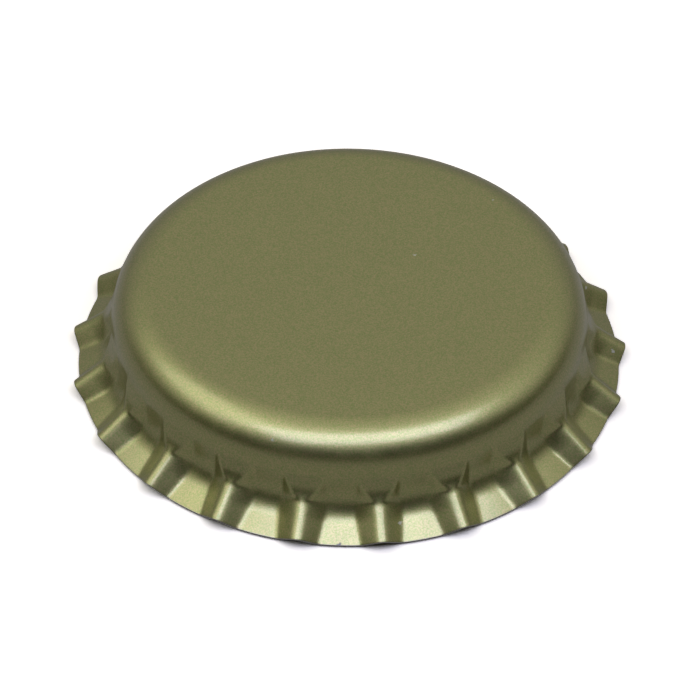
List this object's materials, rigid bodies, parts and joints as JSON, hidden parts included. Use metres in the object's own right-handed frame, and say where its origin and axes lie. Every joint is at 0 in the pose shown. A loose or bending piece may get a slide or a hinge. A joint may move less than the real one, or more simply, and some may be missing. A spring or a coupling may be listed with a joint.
{
  "type": "bottle cap",
  "caption": "Unused crown bottle cap: a drawn sheet-metal cup with a flared, fluted skirt and a moulded sealing liner under its plain satin panel.",
  "frame": {"origin": "centre of the circle the skirt's feet rest on, on the resting plane", "axes": "+Z along the cap's axis, out of the flat panel; +X through the tip of one ridge of the skirt"},
  "size_m": [0.0319, 0.032, 0.006],
  "materials": {
    "lacquered_sheet": "satin khaki-gold lacquer over tinned steel sheet",
    "liner_compound": "soft milky white sealing compound"
  },
  "bodies": {
    "root": {"crown_shell": "lacquered_sheet", "sealing_liner": "liner_compound"}
  },
  "joints": []
}
